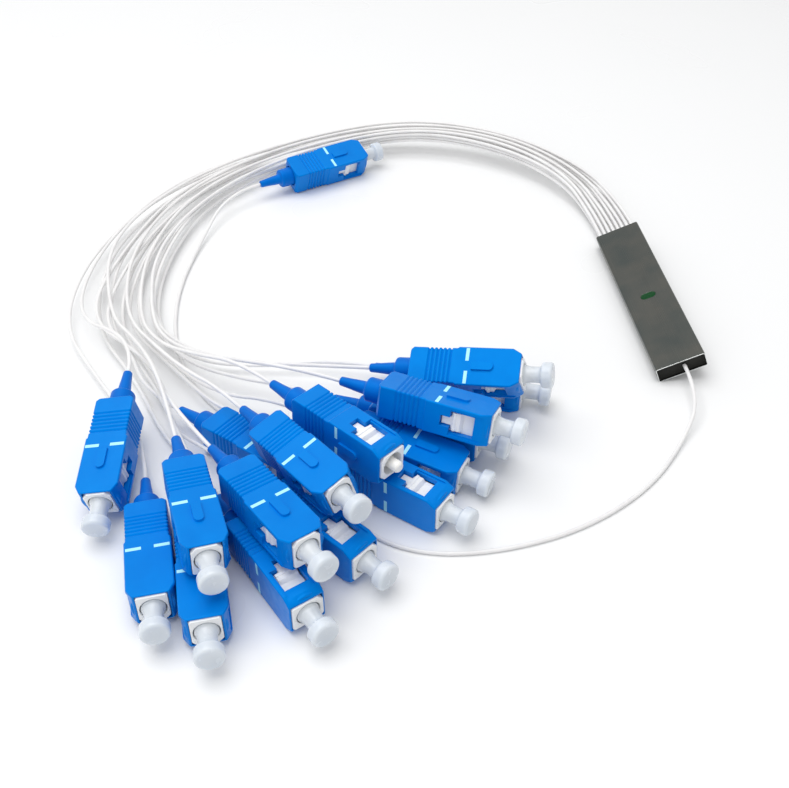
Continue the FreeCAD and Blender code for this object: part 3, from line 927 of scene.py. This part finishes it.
@dataclass
class Plugs:
    """The seventeen plugs, each where its grip lies in the frame."""

    shapes: PlugShapes
    finishes: Finishes

    def __post_init__(self) -> None:
        """Find every plug in the frame."""
        prefix = "grip_slide_"
        self.axes = {joint["name"][len(prefix):]: Vector(joint["axis"])
                     for joint in frame["joints"] if joint["name"].startswith(prefix)}
        self.poses = {name: self.pose(name) for name in self.axes}
        self.pieces: dict[str, list[Object]] = {}

    def pose(self, name: str) -> Matrix:
        """Return where a plug lies, read from its grip's flat faces and its key.

        Args:
            name: the plug's name.

        Returns:
            The matrix from the plug's own frame, in metres, to the row frame.
        """
        mesh = frame["nodes"]["grip_" + name].data
        forward = self.axes[name].normalized()
        broad = max(mesh.polygons, key=lambda polygon: polygon.area).normal
        up = (broad - forward * broad.dot(forward)).normalized()
        across = up.cross(forward)
        points = [vertex.co for vertex in mesh.vertices]
        heights = [point.dot(up) for point in points]
        top, bottom = max(heights), min(heights)
        near_top = [point.dot(across) for point, h in zip(points, heights)
                    if top - h < TOP_BAND * MM]
        if max(near_top) - min(near_top) > self.shapes.grip_width / 2 * MM:
            up, across = -up, -across
            top, bottom = -bottom, -top
        sides = [point.dot(across) for point in points]
        rear = min(point.dot(forward) for point in points)
        middle = (max(sides) + min(sides)) / 2
        height = bottom + self.shapes.grip_height / 2 * MM
        place = forward * rear + across * middle + up * height
        turn = Matrix((forward, across, up)).transposed().to_4x4()
        return Matrix.Translation(place) @ turn

    def build(self) -> None:
        """Make every plug's pieces."""
        shapes = self.shapes
        grip, plug_frame, ferrule = shapes.grip(), shapes.plug_frame(), shapes.ferrule_rod()
        boot, cap = shapes.boot(), shapes.dust_cap()
        for name, pose in self.poses.items():
            kit = (
                ("blue_grip_", grip, ("grip_blue", "print_white"), "grip_" + name, "grip_blue",
                 "grip_" + name),
                ("inner_frame_", plug_frame, ("frame_white",), MODULE_BODY, "plug_frame",
                 "plug_frames"),
                ("ferrule_", ferrule, ("ceramic",), MODULE_BODY, "ferrule", "ferrules"),
                ("boot_", boot, ("boot_blue",), MODULE_BODY, "boot_blue", "boots"),
                ("clear_cap_", cap, ("cap_clear",), "dust_cap_" + name, "dust_cap",
                 "dust_cap_" + name),
            )
            # only a capped plug has the last row's node in the frame
            self.pieces[name] = [
                Piece(prefix + name, mesh, [self.finishes[look] for look in looks], body, slot,
                      [node]).place(pose)
                for prefix, mesh, looks, body, slot, node in kit if node in frame["nodes"]]
            log.info("plug %s: %d pieces", name, len(self.pieces[name]))


# ---- splitter module
@dataclass
class SplitterModule:
    """The steel module: its tube, black end plugs, glue spot and the chip inside."""

    finishes: Finishes
    length: float = 60.0
    width: float = 12.0
    height: float = 4.0
    wall: float = 0.2
    edge: float = 0.5
    recess: float = 0.6
    plug_length: float = 4.0
    hole_place: float = -2.5
    hole_length: float = 3.9
    hole_width: float = 2.3
    glue_depth: float = 1.7
    rolled_edge: float = 0.05
    pose: Matrix = field(init=False)

    # how far an end plug's face sags, and how far in from its edge
    SAG: ClassVar[Profile] = [(0.0, 0.0), (0.08, 0.25), (0.14, 0.7)]
    LEAST_ROUND: ClassVar[float] = 0.08
    # the glue dome's size as a share of the hole's, and its height above the face
    DOME: ClassVar[Profile] = [(0.995, -0.08), (0.98, 0.0), (0.9, 0.04), (0.6, 0.07)]

    def __post_init__(self) -> None:
        """Read where the module lies from the mount on its lower face."""
        mount = next(m for m in frame["record"]["mounts"] if m["name"] == "module_base")
        up = -Vector(mount["axis"]).normalized()
        along = Vector((1, 0, 0))
        turn = Matrix((along, up.cross(along), up)).transposed().to_4x4()
        centre = Vector(mount["pos_m"]) + up * (self.height / 2 * MM)
        self.pose = Matrix.Translation(centre) @ turn

    def housing(self) -> Mesh:
        """Make the drawn tube with its oblong hole.

        Returns:
            The mesh, with the end rims as faces of the second finish: a much lighter steel, a painted highlight.
        """
        half = self.length / 2
        ends = (-half, half)
        body = loft([(x, rounded_ring(self.width, self.height, self.edge, steps=6)) for x in ends])
        inner = rounded_ring(self.width - 2 * self.wall, self.height - 2 * self.wall,
                             self.edge - self.wall)
        body = carve(body, loft([(2 * x, inner) for x in ends]))
        body = carve(body, prism(self.hole_outline(), 0, self.height, UP))
        tube = soften(body, self.rolled_edge)
        rim = self.length / 2 - self.rolled_edge - 0.01
        # the faces at the two ends take the lighter steel, a painted highlight
        for face in tube.polygons:
            if abs(face.center.x) > rim:
                face.material_index = 1
        return tube

    def hole_outline(self) -> list[Point]:
        """Work out the oblong hole's outline.

        Returns:
            The points, on the module's middle plane.
        """
        radius = self.hole_width / 2
        reach = (self.hole_length - self.hole_width) / 2
        return [(x, y, 0.0) for side, start in ((1, 0), (-1, 180))
                for x, y in arc(self.hole_place, side * reach, radius, start, start + 180, 12)]

    def end_plug(self, side: int) -> Mesh:
        """Return one black end plug, whose face sags a little in the middle.

        Args:
            side: -1 for the input end and 1 for the output end.

        Returns:
            The mesh.
        """
        face = self.length / 2 - self.recess
        width, height = self.width - 2 * self.wall, self.height - 2 * self.wall
        radius = self.edge - self.wall
        rings = [(side * (face - back), rounded_ring(width - 2 * inset, height - 2 * inset,
                                                     max(radius - inset / 3, self.LEAST_ROUND)))
                 for back, inset in ((self.plug_length, 0.0), *self.SAG)]
        return shade(loft(rings), corner=60.0)

    def glue_spot(self) -> Mesh:
        """Make the glue that fills the hole, a little domed.

        Returns:
            The closed mesh.
        """
        top = self.height / 2
        centre = Vector((self.hole_place, 0, 0))
        steps = [(self.DOME[0][0], -self.glue_depth), *self.DOME]
        rows = [[centre + (Vector(point) - centre) * share + UP * (top + z)
                 for point in self.hole_outline()] for share, z in steps]
        return shade(skin(rows), corner=50.0)

    def build(self) -> None:
        """Make the module's pieces and finish the ones kept from the frame."""
        finishes = self.finishes
        # the second steel is the painted highlight on the tube's end rims
        steel = [finishes["drawn_steel"], finishes["cut_steel"]]
        potting = [finishes["potting_black"]]
        for name, mesh, looks, slot, node in (
            ("steel_tube", self.housing(), steel, "module_housing", "module_housing"),
            ("potting_input", self.end_plug(-1), potting, "end_plug", "input_end_plug"),
            ("potting_output", self.end_plug(1), potting, "end_plug", "output_end_plug"),
            ("glue_spot", self.glue_spot(), [finishes["glue_green"]], "glue", "glue_fill"),
        ):
            Piece(name, mesh, looks, MODULE_BODY, slot, [node]).place(self.pose)
            log.info("module piece %s", name)
        for node in ("plc_chip", "input_fibre_array", "output_fibre_array"):
            materials = frame["nodes"][node].data.materials
            materials.clear()
            materials.append(finishes["chip_glass"])


# ---- fibre tubes
Station = tuple[Pair, Pair, float]  # two edges and a height


class Route(NamedTuple):
    """One output tube's way: percent across at each station, last points and length."""

    lanes: tuple[int, ...]
    tail: list[Point]
    length: float


@dataclass
class FibreTubes:
    """The white tubes from the module to the plugs, as smooth curves."""

    module: SplitterModule
    plugs: Plugs
    finishes: Finishes
    diameter: float = 0.9
    pitch: float = 1.3
    row_spacing: float = 1.6
    input_offset: float = -0.8
    first_run: float = 12.0
    approach: float = 11.0
    layer_height: float = 1.05
    rows: int = 2
    columns: int = 8

    # the bundle's inner and outer edge and its lowest height, from the module to the plugs
    STATIONS: ClassVar[list[Station]] = [
        ((61.0, 10.0), (65.0, 2.0), 4.6),
        ((81.5, 28.0), (88.0, 22.0), 5.6),
        ((91.5, 54.5), (99.5, 53.5), 6.0),
        ((84.5, 87.0), (95.5, 90.0), 2.6),
        ((63.5, 114.5), (75.0, 126.0), 2.0),
        ((31.0, 126.0), (41.0, 147.0), 1.9),
        ((1.0, 127.0), (3.0, 151.0), 1.9),
    ]
    ROUTES: ClassVar[list[Route]] = [
        Route((5, 10, 11, 13, 5, 2, 0), [(-15.0, 116.5, 2.0), (-19.0, 99.0, 2.2)], 282.0),
        Route((15, 5, 15, 5, 20, 12, 6), [(-17.0, 117.5, 3.2), (-25.0, 104.5, 4.0)], 282.0),
        Route((35, 40, 30, 35, 25, 30, 20), [(-18.5, 119.5, 2.2), (-31.5, 107.5, 4.4)], 293.0),
        Route((40, 30, 42, 38, 45, 30, 32), [(-18.0, 121.0, 3.2), (-35.5, 109.0, 4.2)], 299.0),
        Route((60, 65, 58, 60, 50, 42, 40), [(-20.0, 124.5, 1.9), (-42.5, 117.8, 3.6)], 305.0),
        Route((65, 72, 62, 75, 60, 62, 50), [(-22.0, 125.5, 3.4), (-43.0, 117.5, 6.4)], 314.0),
        Route((90, 88, 80, 85, 82, 78, 64), [(-22.0, 128.5, 1.9), (-39.5, 121.5, 1.4)], 318.0),
        Route((95, 92, 97, 90, 88, 94, 98), [(-21.0, 137.5, 2.0), (-35.0, 129.0, 2.2)], 316.0),
        Route((8, 2, 10, 2, 10, 5, 4), [(-14.5, 117.0, 4.8), (-22.5, 101.0, 6.4)], 284.0),
        Route((12, 18, 8, 15, 2, 15, 2), [(-15.0, 121.0, 7.2), (-27.5, 106.5, 12.0)], 287.0),
        Route((38, 30, 45, 28, 35, 40, 55), [(-12.0, 131.0, 4.4)], 275.0),
        Route((35, 45, 28, 40, 30, 25, 15), [(-14.5, 123.5, 7.4), (-26.0, 113.0, 12.4)], 285.0),
        Route((68, 60, 70, 62, 72, 55, 72), [(-18.5, 125.5, 6.2), (-36.0, 119.7, 9.3)], 310.0),
        Route((62, 70, 60, 72, 50, 45, 30), [(-18.5, 122.5, 8.2), (-31.0, 114.5, 11.2)], 296.0),
        Route((92, 95, 88, 93, 94, 85, 86), [], 289.0),
        Route((90, 85, 94, 88, 75, 80, 45), [(-14.0, 128.5, 8.2), (-28.0, 122.5, 10.4)], 308.0),
    ]
    INPUT_ROUTE: ClassVar[list[Point]] = [
        (-52.0, 6.0, 0.7), (-65.0, 17.0, 0.5), (-75.0, 33.0, 0.5), (-79.5, 50.0, 0.5),
        (-79.5, 65.0, 0.5), (-74.5, 76.0, 0.5), (-65.0, 82.0, 0.5), (-56.3, 86.1, 0.5),
        (-50.0, 90.5, 0.5), (-40.0, 102.0, 0.5), (-26.0, 114.5, 0.5), (-6.0, 121.5, 0.5),
        (17.0, 122.5, 0.6), (40.0, 118.0, 0.8),
    ]
    INPUT_LENGTH = 267.0

    def exit_point(self, side: int, y: float, z: float) -> Vector:
        """Return a point on one end plug's face, in millimetres in the row frame."""
        x = side * (self.module.length / 2 - self.module.recess)
        return (self.module.pose @ (Vector((x, y, z)) * MM)) / MM

    def boot_points(self, name: str) -> list[Vector]:
        """Return a tube's last two points: behind its boot and at the boot's tip."""
        tip = self.plugs.shapes.boot_tip
        return [(self.plugs.poses[name] @ Vector((x * MM, 0, 0))) / MM
                for x in (tip - self.approach, tip)]

    def output_points(self, name: str, route: Route) -> list[Vector]:
        """Return the control points of an output tube.

        Args:
            name: the plug's name, which is the output's number in two digits.
            route: the tube's way.

        Returns:
            The points in millimetres, from the module to the boot.
        """
        row, column = divmod(int(name) - 1, self.columns)
        start = self.exit_point(1, ((self.columns - 1) / 2 - column) * self.pitch,
                                (row - (self.rows - 1) / 2) * self.row_spacing)
        points = [start, start + Vector((self.first_run, 0, 0))]
        layer = self.rows * row + column % 2
        for (inner, outer, low), percent in zip(self.STATIONS, route.lanes):
            x, y = (a + percent / 100 * (b - a) for a, b in zip(inner, outer))
            points.append(Vector((x, y, low + layer * self.layer_height)))
        return points + [*map(Vector, route.tail), *self.boot_points(name)]

    def input_points(self) -> list[Vector]:
        """Return the control points of the input tube, in millimetres."""
        start = self.exit_point(-1, self.input_offset, 0.0)
        return [start, start - Vector((self.first_run, 0, 0)), *map(Vector, self.INPUT_ROUTE),
                *self.boot_points("input")]

    def tube(self, name: str, points: Sequence[Vector], length: float) -> None:
        """Args:
            name: the plug's name.
            points: the curve's control points in millimetres.
            length: the tube's real length in millimetres; not used.
        """
        curve = bpy.data.curves.new("fibre_tube_" + name, "CURVE")
        curve.dimensions = "3D"
        curve.bevel_depth = self.diameter / 2 * MM
        curve.bevel_resolution = 4
        curve.resolution_u = 10
        curve.use_fill_caps = True
        spline = curve.splines.new("NURBS")
        spline.points.add(len(points) - 1)
        for control, point in zip(spline.points, points):
            control.co = (*(point * MM), 1.0)
        spline.order_u = 3
        spline.use_endpoint_u = True
        curve.materials.append(self.finishes["tube_white"])
        piece = put("fibre_tube_" + name, curve)
        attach(piece, MODULE_BODY)
        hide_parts("cord_" + name)
        log.info("tube %s: %d points", name, len(points))

    def build(self) -> None:
        """Make all seventeen tubes."""
        for number, route in enumerate(self.ROUTES, 1):
            name = f"{number:02d}"
            self.tube(name, self.output_points(name, route), route.length)
        self.tube("input", self.input_points(), self.INPUT_LENGTH)


# ---- studio
@dataclass(frozen=True)
class Softbox:
    """One large soft lamp: where it hangs, what it points at, its size and power."""

    name: str
    place: Point
    target: Point
    size: float
    power: float

    def build(self) -> None:
        """Hang the lamp."""
        lamp = bpy.data.lights.new(self.name, "AREA")
        lamp.size = self.size
        lamp.energy = self.power
        aim(put(self.name, lamp), self.place, Vector(self.target) - Vector(self.place))


@dataclass
class Studio:
    """The white table, the soft lamps and the camera."""

    camera_place: Point = (-0.2106, 0.0837, 0.1544)
    heading: float = -4.86
    pitch: float = -40.28
    lens: float = 46.21
    sensor: float = 36.0
    clip: Pair = (0.01, 20.0)
    floor_size: float = 6.0
    sky: float = 0.64
    floor_colour: Colour = (0.885, 0.89, 0.895)

    def build(self) -> None:
        """Set up the whole studio."""
        self.floor()
        self.light()
        self.camera()
        bpy.context.scene.view_settings.view_transform = "Standard"
        log.info("studio ready")

    def floor(self) -> None:
        """Lay the table top."""
        bm = bmesh.new()
        bmesh.ops.create_grid(bm, x_segments=1, y_segments=1, size=self.floor_size / 2)
        table = put("table_top", to_mesh(bm))
        table.data.materials.append(StudioFloor("table_white", self.floor_colour).build())

    def light(self) -> None:
        """Set the sky and hang the lamps."""
        world = bpy.data.worlds.new("studio")
        world.use_nodes = True
        world.node_tree.nodes["Background"].inputs["Color"].default_value = (1, 1, 1, 1)
        world.node_tree.nodes["Background"].inputs["Strength"].default_value = self.sky
        bpy.context.scene.world = world
        for lamp in (
            Softbox("overhead", (0.05, 0.25, 0.75), (0.0, 0.08, 0.0), 0.7, 4.0),
            Softbox("side_fill", (-0.5, 0.45, 0.35), (0.0, 0.08, 0.0), 0.35, 0.5),
        ):
            lamp.build()

    def camera(self) -> None:
        """Place the camera."""
        camera = bpy.data.cameras.new("camera")
        camera.lens = self.lens
        camera.sensor_width = self.sensor
        camera.clip_start, camera.clip_end = self.clip
        heading, pitch = math.radians(self.heading), math.radians(self.pitch)
        holder = put("camera", camera)
        aim(holder, self.camera_place, Vector((math.cos(heading) * math.cos(pitch),
                                               math.sin(heading) * math.cos(pitch),
                                               math.sin(pitch))))
        bpy.context.scene.camera = holder


def main() -> None:
    """Build every sub-assembly in order."""
    logging.basicConfig(level=logging.INFO, format="%(name)s: %(message)s")
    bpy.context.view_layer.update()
    finishes = {finish.name: finish.build() for finish in PALETTE}
    Studio().build()
    plugs = Plugs(PlugShapes(), finishes)
    plugs.build()
    module = SplitterModule(finishes)
    module.build()
    FibreTubes(module, plugs, finishes).build()


if __name__ == "__main__":
    main()
